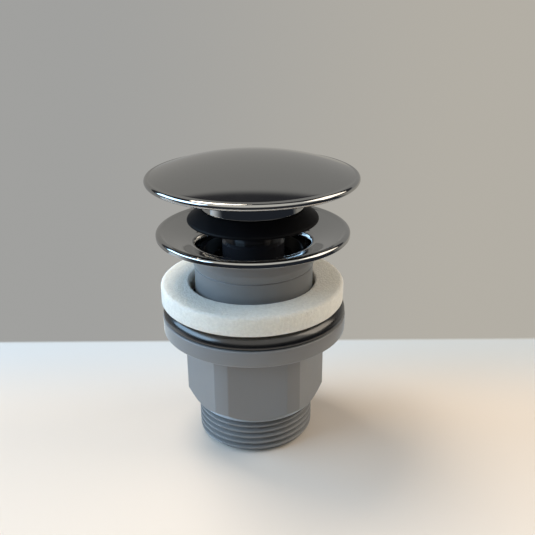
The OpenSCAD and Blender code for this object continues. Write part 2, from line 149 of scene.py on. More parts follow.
class WasteColours(bpy.types.PropertyGroup):
    """Base colours of the finishes, as linear values."""
    chrome: colour("Chrome", "Tint of the plated cap, skirt and flange", (0.41, 0.415, 0.415))
    plastic: colour("Grey plastic", "Moulded tube and outlet body", (0.20, 0.203, 0.207))
    foam: colour("Foam", "Closed-cell foam washer", (0.79, 0.78, 0.72))
    rubber: colour("Rubber", "Gasket and seals", (0.004, 0.004, 0.005))
    black: colour("Black plastic", "Cartridge and spider", (0.012, 0.017, 0.028))
    steel: colour("Steel", "Nuts, stem, pins and spring", (0.45, 0.45, 0.46))
    fibre: colour("Fibre", "Pressed fibre washer", (0.28, 0.06, 0.035))
    acetal: colour("Acetal", "White index sleeve", (0.72, 0.72, 0.69))


class WasteStage(bpy.types.PropertyGroup):
    """Camera, lamps, floor and surround."""
    camera_back: length("Camera distance", "Distance of the camera in front of the axis", 227.9)
    camera_up: length("Camera height", "Height of the camera above the floor", 157.0)
    camera_side: length("Camera offset", "Distance of the camera to the right of the axis", 4.87)
    camera_pitch: angle("Camera pitch", "Angle at which the camera looks down", 22.394)
    camera_roll: angle("Camera roll", "Tilt of the camera about its line of sight", -0.41)
    lens: FloatProperty(name="Lens", default=47.13, min=1, unit="CAMERA",
                        description="Focal length on a 36 mm wide picture")
    window_power: power("Window lamp", "Cool lamp on the left", 6.8)
    window_tint: colour("Window tint", "Colour of the window lamp", (0.46, 0.72, 1.0))
    fill_power: power("Fill lamp", "Weak warm lamp on the right", 2.7)
    top_power: power("Top lamp", "Warm lamp overhead", 5.3)
    warm_tint: colour("Warm tint", "Colour of the fill and top lamps", (1.0, 0.88, 0.73))
    surround: colour("Surround", "Even light from behind and the sides", (0.365, 0.355, 0.335))
    dark_patch: colour("Dark part", "Darker part of the surround, high up behind", (0.045, 0.045, 0.05))
    near_side: colour("Near side", "Darker part of the surround, behind the camera", (0.10, 0.098, 0.094))
    ceiling: colour("Ceiling", "Bright part above the camera, for chrome to show", (1.0, 0.96, 0.88))
    # Painted dark reflection: the colour chrome sees on the floor in front and on the right
    painted_front_reflection: colour("Dark front", "What chrome shows of the floor in front", (0.03, 0.035, 0.045))
    floor_front: colour("Floor", "Pale floor around the object", (0.80, 0.73, 0.66))
    floor_back: colour("Floor at the back", "Cooler floor near the backdrop", (0.60, 0.65, 0.69))
    backdrop_left: colour("Backdrop, left", "Grey behind the floor", (0.355, 0.355, 0.345))
    backdrop_right: colour("Backdrop, right", "Warmer grey on the right", (0.45, 0.425, 0.375))
    floor_end: length("End of the floor", "Distance behind the axis at which the backdrop starts", 63.7)


# Profiles and grids

def arc(cx, cz, rx, rz, start, end, steps):
    """Points (cx + rx cos a, cz + rz sin a) while a runs from start to end, in degrees."""
    a = np.radians(np.linspace(start, end, steps + 1))
    return np.column_stack([cx + rx * np.cos(a), cz + rz * np.sin(a)])


def softened(points, edge, closed=True, steps=4):
    """Rounds the corners of a profile: each corner becomes a parabola that leaves both sides at the
    distance edge (at most 0.42 of a side), with one more point outside it to keep the flats flat."""
    p = np.asarray(points, float)
    back, on = np.roll(p, 1, 0) - p, np.roll(p, -1, 0) - p
    len_back = np.linalg.norm(back, axis=1, keepdims=True)
    len_on = np.linalg.norm(on, axis=1, keepdims=True)
    most, guard = 0.42, 1.16
    cut = np.minimum(edge, most * np.minimum(len_back, len_on))
    a, b = p + back / len_back * cut, p + on / len_on * cut
    before, after = p + back / len_back * cut * guard, p + on / len_on * cut * guard
    t = np.linspace(0, 1, steps + 1)[None, :, None]
    bend = (1 - t) ** 2 * a[:, None] + 2 * t * (1 - t) * p[:, None] + t ** 2 * b[:, None]
    runs = np.concatenate([before[:, None], bend, after[:, None]], axis=1)
    if closed:
        return runs.reshape(-1, 2)
    return np.concatenate([p[:1], runs[1:-1].reshape(-1, 2), p[-1:]])


def around(count):
    """Equal angles once around the axis."""
    return np.linspace(0, TAU, count, endpoint=False)


def anticlockwise(profile):
    """A closed profile turned so that it runs anticlockwise, which makes its faces look outwards."""
    p = np.asarray(profile, float)
    ahead = np.roll(p, -1, 0)
    area = np.sum(p[:, 0] * ahead[:, 1] - ahead[:, 0] * p[:, 1])
    return p if area > 0 else p[::-1]


def ring_faces(rows, cols, close_rows=True):
    """Quads of a grid that closes around the axis, and along the profile if close_rows."""
    i = np.arange(rows if close_rows else rows - 1)[:, None]
    j = np.arange(cols)[None, :]
    n, m = (i + 1) % rows, (j + 1) % cols
    return np.stack([i * cols + j, i * cols + m, n * cols + m, n * cols + j], -1).reshape(-1, 4)


def put(name, verts, faces, sharp=42):
    """A new object at the origin from vertices in millimetres, smooth but for edges over sharp degrees."""
    mesh = bpy.data.meshes.new(name)
    mesh.from_pydata((np.asarray(verts) * MM).tolist(), [], faces)
    mesh.update()
    if mesh.validate():
        raise RuntimeError(f"{name}: the grid has faces that don't close")
    mesh.shade_smooth()
    mesh.set_sharp_from_angle(angle=math.radians(sharp))
    obj = bpy.data.objects.new(name, mesh)
    bpy.context.scene.collection.objects.link(obj)
    return obj


def polar(r, z, a, mid_x=0.0):
    """Vertices (mid_x + r cos a, r sin a, z) of grids of radii and heights, rows by angles."""
    r, z = np.broadcast_arrays(r, z)
    return np.stack([mid_x + r * np.cos(a), r * np.sin(a), np.broadcast_to(z, r.shape)], -1).reshape(-1, 3)


def revolve(name, profile, cols=256, sharp=42):
    """Surface (r cos a, r sin a, z) of a closed profile of (r, z) points."""
    p = anticlockwise(profile)
    a = around(cols)
    verts = polar(np.repeat(p[:, :1], cols, 1), p[:, 1:], a)
    return put(name, verts, ring_faces(len(p), cols).tolist(), sharp)


def revolve_capped(name, profile, cols=256, sharp=42):
    """Surface of an open profile that starts and ends on the axis: rings between two poles.
    The profile runs from the lower pole round the outside to the upper pole."""
    p = np.asarray(profile, float)
    rings = p[1:-1]
    poles = [[0, 0, p[0, 1]], [0, 0, p[-1, 1]]]
    verts = np.concatenate([polar(np.repeat(rings[:, :1], cols, 1), rings[:, 1:], around(cols)), poles])
    j = np.arange(cols)
    m = (j + 1) % cols
    last = (len(rings) - 1) * cols
    low = np.column_stack([np.full(cols, len(verts) - 2), m, j])
    top = np.column_stack([np.full(cols, len(verts) - 1), last + j, last + m])
    walls = ring_faces(len(rings), cols, close_rows=False)
    return put(name, verts, walls.tolist() + low.tolist() + top.tolist(), sharp)


def least(a, b, k):
    """The smaller of a and b, with a rounded change-over of width k."""
    h = np.clip(0.5 + 0.5 * (b - a) / k, 0, 1)
    return b * (1 - h) + a * h - k * h * (1 - h)


def ramp(x, low, high):
    """0 below low and 1 above high, with a smooth rise between."""
    t = np.clip((x - low) / (high - low), 0, 1)
    return t * t * (3 - 2 * t)


def thread_cut(a, z, pitch, depth, crest):
    """Depth of a right-hand screw groove: a rounded V that repeats every pitch along the axis and climbs
    one pitch a turn. At the front a crest lies at the height crest."""
    phase = np.mod((z - crest) / pitch - (a + math.pi / 2) / TAU + 0.5, 1)
    crest_end, root_start = 0.16, 0.88
    return depth * ramp(np.abs(2 * phase - 1), crest_end, root_start)


def dress(obj, body, slot, material, *nodes):
    """Gives a new piece its material and its body, and hides the solids it stands for. The slot is not
    used.
    """
    obj.data.materials.append(material)
    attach(obj, body)
    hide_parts(*nodes)
    return obj


# Finishes

def new_group(name, inputs, outputs):
    """An empty shader node group with a vector input, float inputs and named float outputs."""
    tree = bpy.data.node_groups.new(name, "ShaderNodeTree")
    tree.interface.new_socket("Vector", in_out="INPUT", socket_type="NodeSocketVector")
    for socket, value in inputs:
        made = tree.interface.new_socket(socket, in_out="INPUT", socket_type="NodeSocketFloat")
        made.default_value = value
    for socket in outputs:
        tree.interface.new_socket(socket, in_out="OUTPUT", socket_type="NodeSocketFloat")
    return tree, tree.nodes.new("NodeGroupInput"), tree.nodes.new("NodeGroupOutput")


def add(tree, kind, **values):
    """A node with some of its settings and unlinked inputs filled in."""
    node = tree.nodes.new(kind)
    for key, value in values.items():
        if key.startswith("in_"):
            node.inputs[key[3:].replace("_", " ")].default_value = value
        else:
            setattr(node, key, value)
    return node


def blend_colours(tree, factor, first, second):
    """A mix of a colour, or the colour that another node gives, with a second colour by a linked factor."""
    mixed = add(tree, "ShaderNodeMix", data_type="RGBA", in_B=(*second, 1))
    if isinstance(first, bpy.types.NodeSocket):
        tree.links.new(first, mixed.inputs["A"])
    else:
        mixed.inputs["A"].default_value = (*first, 1)
    tree.links.new(factor, mixed.inputs["Factor"])
    return mixed.outputs["Result"]


def calculate(tree, operation, first, second):
    """A math node of a link and a link or number."""
    node = add(tree, "ShaderNodeMath", operation=operation)
    tree.links.new(first, node.inputs[0])
    if isinstance(second, (int, float)):
        node.inputs[1].default_value = second
    else:
        tree.links.new(second, node.inputs[1])
    return node.outputs[0]


def wear_group():
    """Handling marks: two sizes of noise give a roughness between Low and High, and a mask for tone."""
    if "Handling marks" in bpy.data.node_groups:
        return bpy.data.node_groups["Handling marks"]
    inputs = [("Scale", 60), ("Low", 0.1), ("High", 0.2)]
    tree, start, end = new_group("Handling marks", inputs, ["Roughness", "Tone"])
    link = tree.links.new
    fine_scale, fine_share = 7.5, 0.35
    broad = add(tree, "ShaderNodeTexNoise", in_Detail=3, in_Roughness=0.55)
    fine = add(tree, "ShaderNodeTexNoise", in_Detail=5, in_Roughness=0.7)
    spread = add(tree, "ShaderNodeMapRange", in_From_Min=0.45, in_From_Max=0.9)
    for noise in (broad, fine):
        link(start.outputs["Vector"], noise.inputs["Vector"])
    link(start.outputs["Scale"], broad.inputs["Scale"])
    link(calculate(tree, "MULTIPLY", start.outputs["Scale"], fine_scale), fine.inputs["Scale"])
    small = calculate(tree, "MULTIPLY", fine.outputs["Fac"], fine_share)
    link(calculate(tree, "ADD", small, broad.outputs["Fac"]), spread.inputs["Value"])
    link(start.outputs["Low"], spread.inputs["To Min"])
    link(start.outputs["High"], spread.inputs["To Max"])
    link(spread.outputs["Result"], end.inputs["Roughness"])
    link(broad.outputs["Fac"], end.inputs["Tone"])
    return tree


def grain_group():
    """Moulded or cellular skin: noise and cells, mixed by Cells, as a height."""
    if "Skin grain" in bpy.data.node_groups:
        return bpy.data.node_groups["Skin grain"]
    tree, start, end = new_group("Skin grain", [("Scale", 900), ("Cells", 0)], ["Height"])
    link = tree.links.new
    noise = add(tree, "ShaderNodeTexNoise", in_Detail=4, in_Roughness=0.6)
    cells = add(tree, "ShaderNodeTexVoronoi", feature="F1")
    mixed = add(tree, "ShaderNodeMix", data_type="FLOAT")
    for texture in (noise, cells):
        link(start.outputs["Vector"], texture.inputs["Vector"])
        link(start.outputs["Scale"], texture.inputs["Scale"])
    link(start.outputs["Cells"], mixed.inputs["Factor"])
    link(noise.outputs["Fac"], mixed.inputs["A"])
    link(cells.outputs["Distance"], mixed.inputs["B"])
    link(mixed.outputs["Result"], end.inputs["Height"])
    return tree


def finish(name, base, rough, marks, tone, grain=None, cells=0.0, bump=0.0, **sockets):
    """A material: base colour varied by tone, roughness from the handling marks, bump from the grain."""
    if name in bpy.data.materials:
        return bpy.data.materials[name]
    material = bpy.data.materials.new(name)
    material.use_nodes = True
    tree = material.node_tree
    link = tree.links.new
    shader = tree.nodes["Principled BSDF"]
    place = add(tree, "ShaderNodeTexCoord")
    wear = add(tree, "ShaderNodeGroup", node_tree=wear_group(),
               in_Scale=marks, in_Low=rough[0], in_High=rough[1])
    darker = [c * (1 - tone) for c in base]
    lighter = [min(1.0, c * (1 + tone)) for c in base]
    link(place.outputs["Object"], wear.inputs["Vector"])
    link(blend_colours(tree, wear.outputs["Tone"], darker, lighter), shader.inputs["Base Color"])
    link(wear.outputs["Roughness"], shader.inputs["Roughness"])
    for socket, value in sockets.items():
        shader.inputs[socket.replace("_", " ")].default_value = value
    if grain:
        skin = add(tree, "ShaderNodeGroup", node_tree=grain_group(), in_Scale=grain, in_Cells=cells)
        lift = add(tree, "ShaderNodeBump", in_Strength=1.0, in_Distance=bump * MM)
        link(place.outputs["Object"], skin.inputs["Vector"])
        link(skin.outputs["Height"], lift.inputs["Height"])
        link(lift.outputs["Normal"], shader.inputs["Normal"])
    return material


def chrome_finish(tints):
    """Bright plating with faint wiping marks."""
    return finish("polished_chrome", tints.chrome, (0.045, 0.10), marks=45, tone=0.03, Metallic=1.0)


def plastic_finish(tints):
    """Satin moulded plastic with a fine skin and a sheen at its edges; the sheen's blue tint is painted
    cool light.
    """
    return finish("grey_moulded_plastic", tints.plastic, (0.40, 0.54), marks=38, tone=0.07,
                  # The sheen answers the lamps, but its blue tint is painted cool light on the plastic's
                  # edges
                  grain=700, bump=0.012, Specular_IOR_Level=0.7, Sheen_Weight=0.9, Sheen_Roughness=0.3,
                  Sheen_Tint=(0.75, 0.88, 1.0, 1.0))


def foam_finish(tints):
    """Pale foam with small cells, soft under its surface."""
    return finish("closed_cell_foam", tints.foam, (0.75, 0.95), marks=1000, tone=0.16,
                  grain=1500, cells=0.6, bump=0.34, Specular_IOR_Level=0.25, Subsurface_Weight=0.7,
                  Subsurface_Scale=5 * MM, Subsurface_Radius=(1.0, 0.95, 0.9))


def rubber_finish(tints):
    """Smooth, wet-looking rubber of the gasket."""
    return finish("glossy_rubber", tints.rubber, (0.19, 0.29), marks=70, tone=0.2, grain=600, bump=0.006,
                  Specular_IOR_Level=0.8)


def seal_finish(tints):
    """Dull soft rubber of the seals."""
    return finish("soft_rubber", tints.rubber, (0.42, 0.60), marks=70, tone=0.2, grain=800, bump=0.012,
                  Specular_IOR_Level=0.08)


def black_finish(tints):
    """Dark plastic of the cartridge and spider."""
    return finish("black_plastic", tints.black, (0.38, 0.52), marks=60, tone=0.15, grain=700, bump=0.01,
                  Specular_IOR_Level=0.2)


def steel_finish(tints):
    """Plain turned steel."""
    return finish("plain_steel", tints.steel, (0.22, 0.38), marks=90, tone=0.08, Metallic=1.0)


def fibre_finish(tints):
    """Dry red fibre with a coarse skin."""
    return finish("pressed_fibre", tints.fibre, (0.7, 0.85), marks=150, tone=0.2, grain=1800, bump=0.03)


def acetal_finish(tints):
    """Slick white plastic of the index sleeve."""
    return finish("white_acetal", tints.acetal, (0.3, 0.42), marks=80, tone=0.04, grain=900, bump=0.006)


# Pieces

class WASTE_OT_plug(bpy.types.Operator):
    """Chrome cap with its rolled rim, the skirt under it and the rubber seal"""
    bl_idname = "waste.plug"
    bl_label = "Plug"

    def execute(self, context):
        size, tints = context.scene.waste_sizes, context.scene.waste_colours
        self.cap(size, tints)
        self.skirt(size, tints)
        self.seal(size, tints)
        return {"FINISHED"}

    def cap(self, size, tints):
        """Sphere segment over a round bead; the underside follows it one sheet lower, down to the boss."""
        boss_low, top = height("plug_cap")
        bead_r, rise, sheet = size.bead / MM / 2, size.dome_rise / MM, size.cap_sheet / MM
        stem_r, boss_r, boss_fillet = size.stem / MM, size.boss / MM, 0.7
        ring = radius("plug_cap") - bead_r
        mid = top - rise - 0.9 * bead_r
        ball = (ring ** 2 + rise ** 2) / (2 * rise)
        inner_ball = ball - sheet
        centre = top - ball
        r = np.linspace(ring - 0.95, 0.6, 60)
        dome = np.column_stack([r, centre + np.sqrt(ball ** 2 - r ** 2)])
        bead = arc(ring, mid, bead_r, bead_r, -118, 104, 26)
        r_in = np.linspace(boss_r + boss_fillet, ring - 1.15, 40)
        under = np.column_stack([r_in, centre + np.sqrt(inner_ball ** 2 - r_in ** 2)])
        boss_top = under[0, 1]
        hole_top = top - sheet - 4
        boss = softened([[0, hole_top], [stem_r, hole_top], [stem_r, boss_low], [boss_r, boss_low],
                         [boss_r, boss_top], [boss_r + boss_fillet, boss_top]], edge=0.35, closed=False)
        profile = np.concatenate([boss, under[1:], bead, dome, [[0, top]]])
        dress(revolve_capped("chrome_cap", profile), "plug", "chrome", chrome_finish(tints), "plug_cap")

    def skirt(self, size, tints):
        """Straight cylinder with a rounded lower edge and an inward web."""
        r, (low, top) = radius("plug_skirt"), height("plug_skirt")
        hub, wall, web = size.plug_hub / MM, r - 1.2, low + 1.4
        loop = [[hub, low], [r, low], [r, top - 0.1], [wall, top], [wall, web], [hub, web]]
        skirt = revolve("chrome_skirt", softened(loop, edge=0.4))
        dress(skirt, "plug", "chrome", chrome_finish(tints), "plug_skirt")

    def seal(self, size, tints):
        """Flat disc that droops into a thin lip. The lip hangs a little lower than the stiff solid's."""
        r, (solid_low, top) = radius("plug_seal"), height("plug_seal")
        hub, skirt, under = size.plug_hub / MM, radius("plug_skirt"), top - 1.5
        low = solid_low - size.lip_droop / MM
        loop = [[hub, under], [skirt - 0.6, under], [r - 0.5, low], [r, low + 0.5], [r - 0.25, low + 1.1],
                [skirt + 0.2, top - 0.1], [skirt - 0.4, top], [hub, top]]
        seal = revolve("rubber_seal", softened(loop, edge=0.3))
        dress(seal, "plug", "rubber", seal_finish(tints), "plug_seal")
        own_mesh(seal)


class WASTE_OT_flange(bpy.types.Operator):
    """Dished chrome flange with a turned-down lip and a drawn throat"""
    bl_idname = "waste.flange"
    bl_label = "Flange"

    def execute(self, context):
        """The sheet's profile turned about the axis: the throat's wall, a quarter of an ellipse out of the
        throat, a dish whose rise falls off as a power of the way still to go, the rounded lip, and the same
        run one sheet lower back to the throat."""
        size, tints = context.scene.waste_sizes, context.scene.waste_colours
        r, z_throat = radius("flange"), height("flange")[0]
        throat, rise, sheet = size.throat / MM, size.dish_rise / MM, 1.0
        z_hole = z_throat + size.throat_depth / MM
        z_dish = z_hole + 0.1
        inner, edge = size.hole / MM + 0.6, r - 0.6
        x = np.linspace(inner + 0.3, edge - 1.9, 30)
        way = (x - inner) / (edge - inner)
        dish = np.column_stack([x, z_dish + rise * (1 - (1 - way) ** size.dish_bend)])
        z_edge = z_dish + rise
        z_lip = z_edge - size.lip / MM
        draw_h, back_h = 5.6, 5.1
        loop = np.concatenate([
            [[throat, z_throat], [throat, z_throat + 0.3], [throat, z_hole - draw_h - 0.4]],
            arc(inner, z_hole - draw_h, inner - throat, draw_h + 0.1, 178, 94, 40),
            dish,
            arc(edge - 0.95, z_edge - 0.75, 1.55, 1.05, 92, 2, 18),
            [[r, z_lip + 0.3]],
            arc(r - 0.5, z_lip + 0.4, 0.5, 0.4, 0, -180, 12),
            [[r - 1.1, z_edge - sheet - 0.45], [r - 1.3, z_edge - sheet - 0.22]],
            dish[::-1] - [0, sheet],
            arc(inner + 0.4, z_hole - draw_h - 0.4, inner + 0.4 - throat - sheet, back_h, 100, 178, 30),
            [[throat + sheet, z_throat + 0.3], [throat + sheet, z_throat]]])
        dress(revolve("chrome_flange", loop), "inlet", "chrome", chrome_finish(tints), "flange")
        return {"FINISHED"}


class WASTE_OT_inlet_tube(bpy.types.Operator):
    """Grey inlet tube with its screw thread, groove and coned head"""
    bl_idname = "waste.inlet_tube"
    bl_label = "Inlet tube"

    def execute(self, context):
        """The wall's profile turned about the axis, with a screw groove taken out of its lower outside."""
        size, tints = context.scene.waste_sizes, context.scene.waste_colours
        head, (low, top) = radius("inlet_tube"), height("inlet_tube")
        r, bore, seat = size.tube / MM, size.tube_bore / MM, size.throat / MM + 1.05
        ledge, z_ledge, z_seat = bore - 1.4, low + 14.5, low + 29.6
        groove, thread_low, thread_top = low + 33.4, low + 0.9, low + 24.5
        outside = [[r, thread_top + 0.5], [r, groove - 0.1], [r - 0.3, groove], [r - 0.3, groove + 0.3],
                   [r + 0.2, groove + 0.5], [head, groove + 3], [head, top]]
        inside = [[size.hole / MM - 0.4, top], [seat, top - 3.2], [seat, z_seat], [bore, z_seat],
                  [bore, z_ledge], [ledge, z_ledge], [ledge, low], [r - 0.8, low]]
        upper = softened(outside + inside, edge=0.22, closed=False)
        z = np.linspace(thread_low, thread_top + 0.4, 150)
        wall = anticlockwise(np.concatenate([upper, np.column_stack([np.full(len(z), r), z])]))
        a = around(192)
        rr, zz = np.repeat(wall[:, :1], len(a), 1), wall[:, 1:]
        threaded = (wall[:, :1] > r - 1e-6) & (zz < thread_top + 0.45)
        ends = ramp(zz, thread_low, thread_low + 0.9) * (1 - ramp(zz, thread_top - 0.7, thread_top))
        cut = thread_cut(a, zz, size.tube_pitch / MM, size.tube_thread / MM, thread_low) * ends
        verts = polar(np.where(threaded, rr - cut, rr), zz, a)
        tube = put("grey_inlet_tube", verts, ring_faces(len(wall), len(a)).tolist())
        dress(tube, "inlet", "grey_plastic", plastic_finish(tints), "inlet_tube")
        return {"FINISHED"}


class WASTE_OT_washers(bpy.types.Operator):
    """White foam washer and the glossy rubber gasket under it"""
    bl_idname = "waste.washers"
    bl_label = "Washers"

    def execute(self, context):
        size, tints = context.scene.waste_sizes, context.scene.waste_colours
        self.foam(size, tints)
        self.gasket(size, tints)
        return {"FINISHED"}

    def foam(self, size, tints):
        """Ring with pressed edges; waves of a few hundredths of a millimetre make the cut edge uneven."""
        low, high = span("foam_washer")
        r, hole, mid_x = (high[1] - low[1]) / 2, size.foam_hole / MM, (low[0] + high[0]) / 2
        z0, z1 = low[2], high[2]
        foot, brim, mouth = 1.0, 1.2, 0.7
        side_z = np.linspace(z0 + 1.4, z1 - 1.4, 9)
        top_r = np.linspace(r - 1.4, hole + 0.9, 14)
        hole_z = np.linspace(z1 - 0.9, z0 + 0.6, 8)
        p = np.concatenate([
            arc(r - foot, z0 + foot, foot, foot, -90, 0, 7),
            np.column_stack([np.full(len(side_z), r), side_z]),
            arc(r - brim, z1 - brim, brim, brim, 0, 90, 9),
            np.column_stack([top_r, np.full(len(top_r), z1)]),
            arc(hole + mouth, z1 - mouth, mouth, mouth, 90, 180, 6),
            np.column_stack([np.full(len(hole_z), hole), hole_z]),
            [[hole, z0], [hole + 3, z0], [r - 3, z0]]])
        a = around(224)
        wave = 0.05 * np.sin(3 * a + 0.6) + 0.035 * np.sin(7 * a + 2.1) + 0.02 * np.sin(17 * a + 0.3)
        out = np.where(p[:, :1] > r - 1.5, wave, 0.6 * np.roll(wave, 40))
        lift = np.where(p[:, 1:] > z1 - 0.3, 0.05 * np.sin(4 * a + 1.0) - 0.06, 0.0)
        # The outside and the hole draw back by the waves' height, so that the ring stays in its solid
        inset = np.where(p[:, :1] > (r + hole) / 2, 0.11, -0.07)
        verts = polar(p[:, :1] + out - inset, p[:, 1:] + lift, a, mid_x)
        ring = put("foam_ring", verts, ring_faces(len(p), len(a)).tolist(), sharp=60)
        dress(ring, "washers", "foam", foam_finish(tints), "foam_washer")

    def gasket(self, size, tints):
        """Flat ring whose outer edge is a quarter ellipse above and a small one below."""
        r, hole, (low, top) = radius("rubber_gasket"), size.gasket_hole / MM, height("rubber_gasket")
        nose_w, nose_h, heel_w, heel_h = 4.8, 3.7, 1.0, 1.1
        loop = np.concatenate([
            [[hole, low], [hole + 0.3, low], [r - 1.4, low]],
            arc(r - heel_w, low + heel_h, heel_w, heel_h, -90, 0, 14),
            arc(r - nose_w, top - nose_h, nose_w, nose_h, 0, 90, 28),
            [[r - 5.3, top], [hole + 0.3, top], [hole, top]]])
        ring = revolve("rubber_gasket_ring", loop)
        dress(ring, "washers", "rubber", rubber_finish(tints), "rubber_gasket")


class WASTE_OT_outlet_body(bpy.types.Operator):
    """Grey outlet body: clamp collar, hexagon with turned corners and screw thread"""
    bl_idname = "waste.outlet_body"
    bl_label = "Outlet body"

    def execute(self, context):
        """One closed grid: up the thread, the hexagon and the collar, and down the bore."""
        size, tints = context.scene.waste_sizes, context.scene.waste_colours
        corner = math.degrees(math.acos(size.hex_flat / size.hex_turned))
        a = self.angles(corner, size.hex_turn)
        runs = [self.thread(size, a), *self.hexagon(size, a), self.collar_and_bore(size, a)]
        r = np.concatenate([run[0] for run in runs])
        z = np.concatenate([run[1] for run in runs])
        body = put("grey_outlet_body", polar(r, z, a), ring_faces(len(r), len(a)).tolist(), sharp=38)
        dress(body, "outlet", "grey_plastic", plastic_finish(tints), "outlet_body")
        return {"FINISHED"}

    @staticmethod
    def angles(corner, turn):
        """Angles once around, crowded where the hexagon's flats meet its turned corners."""
        near = corner + np.array([-0.8, -0.35, -0.1, 0.1, 0.35, 0.8])
        half = np.concatenate([np.linspace(0, corner - 1.4, 13), near, np.linspace(corner + 1.4, 29, 5)])
        sector = np.concatenate([-half[:0:-1], half, [30]])
        all_round = (np.arange(6)[:, None] * 60 + sector[None, :]).ravel()
        return np.radians(all_round) + turn - math.pi / 2

    @staticmethod
    def even(profile, a):
        """A run of the profile that is the same all round, as grids of radii and heights."""
        p = np.asarray(profile, float)
        return np.repeat(p[:, :1], len(a), 1), np.repeat(p[:, 1:], len(a), 1)

    def thread(self, size, a):
        """End face, lead-in chamfer and screw thread, up to the hexagon."""
        major, depth, base = size.thread_major / MM, size.thread_depth / MM, size.hex_base / MM
        bore, minor = size.outlet_bore / MM, major - depth
        end_face = [[bore + 0.05, 0.0], [bore + 0.4, 0.0], [minor - 0.4, 0.0], [minor - 0.1, 0.03]]
        end_r, end_z = self.even(end_face, a)
        z = np.linspace(0.1, base - 0.04, 108)[:, None]
        cut = thread_cut(a, z, size.thread_pitch / MM, depth, size.thread_crest / MM)
        wall = np.minimum(major - cut, minor + z)
        return np.concatenate([end_r, wall]), np.concatenate([end_z, np.repeat(z, len(a), 1)])

    def hexagon(self, size, a):
        """The least of the flats, the turned corners and the foot cone; a fillet and the collar's underside
        close it at the top."""
        flat, turned, base = size.hex_flat / MM, size.hex_turned / MM, size.hex_base / MM
        foot, cone_h = size.thread_major / MM + 0.7, size.foot_cone / MM
        under, collar, fillet = height("outlet_body")[1] - size.collar / MM, radius("outlet_body"), 0.6
        off = np.mod(a - size.hex_turn + math.pi / 2 + math.pi / 6, math.pi / 3) - math.pi / 6
        wall = least(flat / np.cos(off), np.full_like(off, turned), k=0.08)[None, :]
        z = np.concatenate([[base], np.linspace(base + 0.1, base + cone_h + 0.8, 34),
                            np.linspace(base + cone_h + 2.0, under - 1.3, 9)])[:, None]
        cone = foot + (z - base) * (turned - foot) / cone_h
        yield least(wall, cone, k=0.16), np.repeat(z, len(a), 1)
        t = np.radians(np.linspace(0, 90, 6))[:, None]
        yield wall + fillet * (1 - np.cos(t)), np.repeat(under - fillet * (1 - np.sin(t)), len(a), 1)
        f = np.linspace(0.15, 1, 5)[:, None]
        yield (wall + fillet) * (1 - f) + (collar - 1.1) * f, np.full((5, len(a)), under)

    def collar_and_bore(self, size, a):
        """Edge and top of the collar, the screwed bore, its shelf and the outlet's bore."""
        top, collar = height("outlet_body")[1], radius("outlet_body")
        under, cone = top - size.collar / MM, size.hex_base / MM + 2.5
        bore, screw, shelf = size.outlet_bore / MM, size.screw_bore / MM, cone + 2.6
        low_edge, top_edge, lead_in = 0.7, 0.6, 0.9
        return self.even(np.concatenate([
            arc(collar - low_edge, under + low_edge, low_edge, low_edge, -88, 0, 6),
            arc(collar - top_edge, top - top_edge, top_edge, top_edge, 0, 88, 6),
            [[collar - 1.1, top], [screw + 1.2, top]],
            arc(screw + lead_in, top - lead_in, lead_in, lead_in, 90, 180, 5),
            [[screw, top - 1.4], [screw, shelf + 0.4], [screw - 0.2, shelf - 0.3], [bore + 0.3, cone],
             [bore, cone - 0.5], [bore, 0.5], [bore, 0.06]]]), a)


class WASTE_OT_spring(bpy.types.Operator):
    """Return spring wound between the end plug and the thrust washer"""
    bl_idname = "waste.spring"
    bl_label = "Return spring"

    def execute(self, context):
        """Round wire swept along a helix that climbs slowly in its first and last turn."""
        size, tints = context.scene.waste_sizes, context.scene.waste_colours
        w, turns = size.wire / MM / 2, size.spring_turns
        low, high = height("return_spring")
        coil, dead = radius("return_spring") - w, 2.1 * w
        t = np.linspace(0, turns, turns * 40 + 1)
        first, last = np.clip(t, 0, 1), np.clip(t - turns + 1, 0, 1)
        middle = np.clip((t - 1) / (turns - 2), 0, 1)
        climb = dead * (first + last) + (high - low - 2 * w - 2 * dead) * middle
        b = around(12)[None, :]
        r = coil + w * np.cos(b)
        z = (low + w + climb)[:, None] + w * np.sin(b)
        verts = polar(np.repeat(r, len(t), 0), z, (TAU * t)[:, None])
        walls = ring_faces(len(t), b.size, close_rows=False)[:, ::-1]
        ends = [list(range(b.size)), list(range((len(t) - 1) * b.size, len(t) * b.size))[::-1]]
        spring = put("return_spring_wire", verts, walls.tolist() + ends)
        dress(spring, "inlet", "steel", steel_finish(tints), "return_spring")
        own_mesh(spring)
        return {"FINISHED"}


class WASTE_OT_inner_pieces(bpy.types.Operator):
    """Finishes of the solids that keep their own shape: cartridge, spider, stem and their small pieces"""
    bl_idname = "waste.inner_pieces"
    bl_label = "Inner pieces"

    def execute(self, context):
        tints = context.scene.waste_colours
        made = {"rubber": seal_finish(tints), "black_plastic": black_finish(tints),
                "steel": steel_finish(tints), "fibre": fibre_finish(tints), "acetal": acetal_finish(tints)}
        slots = {s["node"]: s["material_slot"] for s in frame["record"]["subparts"]}
        for name, obj in frame["nodes"].items():
            if slots[name] in made and not obj.hide_render:
                for place in obj.material_slots:
                    place.material = made[slots[name]]
        return {"FINISHED"}


